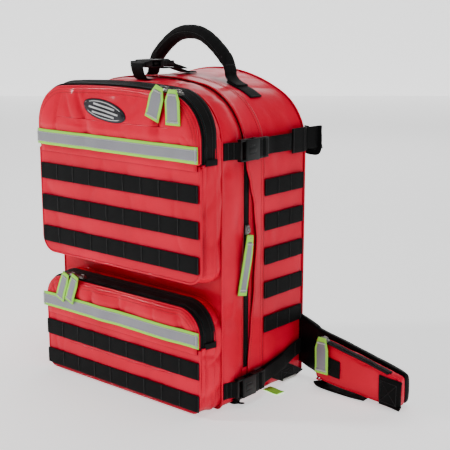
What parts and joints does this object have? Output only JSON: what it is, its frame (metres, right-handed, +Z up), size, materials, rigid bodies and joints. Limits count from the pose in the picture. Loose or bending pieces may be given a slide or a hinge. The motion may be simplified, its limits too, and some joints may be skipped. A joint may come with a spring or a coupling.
{
  "type": "trauma backpack",
  "caption": "Clamshell medical backpack with zipped front pockets, webbing rows, side-release straps, carry handle, shoulder straps and hip wings with pouches.",
  "frame": {"origin": "on the floor under the tub, in the middle of the bag's width", "axes": "+X to the bag's left-right width, +Y towards the wearer's back, +Z up"},
  "size_m": [0.742, 0.304, 0.5575],
  "materials": {
    "red_coated_fabric": "semi-gloss coated weave",
    "black_webbing": "matt woven nylon",
    "handle_webbing": "matt woven nylon over a padded core",
    "zip_tape": "woven tape with nylon coils",
    "buckle_plastic": "fine moulded texture",
    "reflective_band": "grey reflective tape with lime edges",
    "lime_webbing": "fluorescent lime webbing with a grey reflective centre",
    "zip_metal": "dark plated",
    "black_padding": "spacer mesh over foam",
    "stiffener": "smooth sheet"
  },
  "bodies": {
    "rear_section": {"rear_shell": "red_coated_fabric", "frame_sheet": "stiffener", "organizer_panel": "black_padding", "back_pad": "black_padding", "lumbar_pad": "black_padding", "storm_flap": "red_coated_fabric", "main_zip_rear": "zip_tape", "top_strap": "black_webbing", "side_molle_right": "black_webbing", "side_molle_left": "black_webbing", "upper_strap_right": "black_webbing", "upper_strap_left": "black_webbing", "lower_strap_right": "black_webbing", "lower_strap_left": "black_webbing", "shoulder_anchor_right": "black_webbing", "shoulder_anchor_left": "black_webbing"},
    "front_section": {"front_shell": "red_coated_fabric", "main_zip_front": "zip_tape", "upper_pocket": "red_coated_fabric", "lower_pocket": "red_coated_fabric", "upper_molle": "black_webbing", "lower_molle": "black_webbing", "top_socket": "buckle_plastic", "upper_socket_right": "buckle_plastic", "upper_socket_left": "buckle_plastic", "lower_socket_right": "buckle_plastic", "lower_socket_left": "buckle_plastic"},
    "upper_flap": {"upper_flap": "red_coated_fabric", "upper_band": "reflective_band"},
    "lower_flap": {"lower_flap": "red_coated_fabric", "lower_band": "reflective_band"},
    "carry_handle": {"carry_handle": "handle_webbing"},
    "upper_left_slider": {"upper_left_slider": "zip_metal"},
    "upper_left_pull": {"upper_left_pull": "lime_webbing"},
    "upper_right_slider": {"upper_right_slider": "zip_metal"},
    "upper_right_pull": {"upper_right_pull": "lime_webbing"},
    "lower_left_slider": {"lower_left_slider": "zip_metal"},
    "lower_left_pull": {"lower_left_pull": "lime_webbing"},
    "lower_right_slider": {"lower_right_slider": "zip_metal"},
    "lower_right_pull": {"lower_right_pull": "lime_webbing"},
    "main_slider_right": {"main_slider_right": "zip_metal"},
    "main_pull_right": {"main_pull_right": "lime_webbing"},
    "wing_slider_right": {"wing_slider_right": "zip_metal"},
    "wing_pull_right": {"wing_pull_right": "lime_webbing"},
    "upper_plug_right": {"upper_plug_right": "buckle_plastic"},
    "lower_plug_right": {"lower_plug_right": "buckle_plastic"},
    "shoulder_strap_right": {"shoulder_strap_right": "black_padding"},
    "wing_right": {"wing_pad_right": "black_padding", "wing_pouch_right": "red_coated_fabric"},
    "main_slider_left": {"main_slider_left": "zip_metal"},
    "main_pull_left": {"main_pull_left": "lime_webbing"},
    "wing_slider_left": {"wing_slider_left": "zip_metal"},
    "wing_pull_left": {"wing_pull_left": "lime_webbing"},
    "upper_plug_left": {"upper_plug_left": "buckle_plastic"},
    "lower_plug_left": {"lower_plug_left": "buckle_plastic"},
    "shoulder_strap_left": {"shoulder_strap_left": "black_padding"},
    "wing_left": {"wing_pad_left": "black_padding", "wing_pouch_left": "red_coated_fabric"},
    "top_plug": {"top_plug": "buckle_plastic"}
  },
  "joints": [
    {"name": "front_section_opens", "type": "hinge", "parent": "rear_section", "child": "front_section", "pos_m": [0, -0.02, 0], "axis": [1, 0, 0], "range_deg": [0, 175]},
    {"name": "upper_flap_drops", "type": "hinge", "parent": "front_section", "child": "upper_flap", "pos_m": [0, -0.1235, 0.3712], "axis": [1, 0, 0], "range_deg": [0, 120]},
    {"name": "lower_flap_drops", "type": "hinge", "parent": "front_section", "child": "lower_flap", "pos_m": [0, -0.1235, 0.1052], "axis": [1, 0, 0], "range_deg": [0, 120]},
    {"name": "handle_folds", "type": "hinge", "parent": "rear_section", "child": "carry_handle", "pos_m": [0, 0.05, 0.49], "axis": [1, 0, 0], "range_deg": [-70, 55]},
    {"name": "upper_left_slider_runs", "type": "hinge", "parent": "upper_flap", "child": "upper_left_slider", "pos_m": [0, -0.116, -1.03], "axis": [0, 1, 0], "range_deg": [-7.2, 0]},
    {"name": "upper_left_pull_swings", "type": "hinge", "parent": "upper_left_slider", "child": "upper_left_pull", "pos_m": [0.10138, -0.117, 0.47649], "axis": [1, 0, 0], "range_deg": [-140, 0]},
    {"name": "upper_right_slider_runs", "type": "hinge", "parent": "upper_flap", "child": "upper_right_slider", "pos_m": [0.108, -0.116, 0.40394], "axis": [0, 1, 0], "range_deg": [0, 60]},
    {"name": "upper_right_pull_swings", "type": "hinge", "parent": "upper_right_slider", "child": "upper_right_pull", "pos_m": [0.12661, -0.117, 0.47339], "axis": [1, 0, 0], "range_deg": [-140, 0]},
    {"name": "lower_left_slider_runs", "type": "slide", "parent": "lower_flap", "child": "lower_left_slider", "axis": [1, 0, 0], "range_m": [-0.015, 0]},
    {"name": "lower_left_pull_swings", "type": "hinge", "parent": "lower_left_slider", "child": "lower_left_pull", "pos_m": [-0.11, -0.117, 0.1713], "axis": [1, 0, 0], "range_deg": [-140, 0]},
    {"name": "lower_right_slider_runs", "type": "slide", "parent": "lower_flap", "child": "lower_right_slider", "axis": [1, 0, 0], "range_m": [0, 0.2]},
    {"name": "lower_right_pull_swings", "type": "hinge", "parent": "lower_right_slider", "child": "lower_right_pull", "pos_m": [-0.088, -0.117, 0.1713], "axis": [1, 0, 0], "range_deg": [-140, 0]},
    {"name": "main_slider_right_runs", "type": "slide", "parent": "rear_section", "child": "main_slider_right", "axis": [0, 0, 1], "range_m": [-0.1, 0.08]},
    {"name": "main_pull_right_swings", "type": "hinge", "parent": "main_slider_right", "child": "main_pull_right", "pos_m": [0.1759, -0.02, 0.258], "axis": [0, 1, 0], "range_deg": [-75, 0]},
    {"name": "wing_right_swings", "type": "hinge", "parent": "rear_section", "child": "wing_right", "pos_m": [0.172, 0.122, 0], "axis": [0, 0, 1], "range_deg": [0, 80]},
    {"name": "wing_slider_right_runs", "type": "slide", "parent": "wing_right", "child": "wing_slider_right", "axis": [0.9799, 0, -0.1993], "range_m": [0, 0.08]},
    {"name": "wing_pull_right_swings", "type": "hinge", "parent": "wing_slider_right", "child": "wing_pull_right", "pos_m": [0.2365, 0.0917, 0.0853], "axis": [1, 0, 0], "range_deg": [-140, 0]},
    {"name": "upper_plug_right_slides", "type": "slide", "parent": "rear_section", "child": "upper_plug_right", "axis": [0, 1, 0], "range_m": [0, 0.025]},
    {"name": "lower_plug_right_slides", "type": "slide", "parent": "rear_section", "child": "lower_plug_right", "axis": [0, 1, 0], "range_m": [0, 0.025]},
    {"name": "shoulder_strap_right_lifts", "type": "hinge", "parent": "rear_section", "child": "shoulder_strap_right", "pos_m": [0.077, 0.136, 0.432], "axis": [1, 0, 0], "range_deg": [0, 25]},
    {"name": "main_slider_left_runs", "type": "slide", "parent": "rear_section", "child": "main_slider_left", "axis": [0, 0, 1], "range_m": [-0.1, 0.08]},
    {"name": "main_pull_left_swings", "type": "hinge", "parent": "main_slider_left", "child": "main_pull_left", "pos_m": [-0.1759, -0.02, 0.258], "axis": [0, 1, 0], "range_deg": [0, 75]},
    {"name": "wing_left_swings", "type": "hinge", "parent": "rear_section", "child": "wing_left", "pos_m": [-0.172, 0.122, 0], "axis": [0, 0, 1], "range_deg": [-80, 0]},
    {"name": "wing_slider_left_runs", "type": "slide", "parent": "wing_left", "child": "wing_slider_left", "axis": [-0.9799, 0, -0.1993], "range_m": [0, 0.08]},
    {"name": "wing_pull_left_swings", "type": "hinge", "parent": "wing_slider_left", "child": "wing_pull_left", "pos_m": [-0.2365, 0.0917, 0.0853], "axis": [1, 0, 0], "range_deg": [-140, 0]},
    {"name": "upper_plug_left_slides", "type": "slide", "parent": "rear_section", "child": "upper_plug_left", "axis": [0, 1, 0], "range_m": [0, 0.025]},
    {"name": "lower_plug_left_slides", "type": "slide", "parent": "rear_section", "child": "lower_plug_left", "axis": [0, 1, 0], "range_m": [0, 0.025]},
    {"name": "shoulder_strap_left_lifts", "type": "hinge", "parent": "rear_section", "child": "shoulder_strap_left", "pos_m": [-0.077, 0.136, 0.432], "axis": [1, 0, 0], "range_deg": [0, 25]},
    {"name": "top_plug_slides", "type": "slide", "parent": "rear_section", "child": "top_plug", "axis": [0, 1, 0], "range_m": [0, 0.025]}
  ]
}
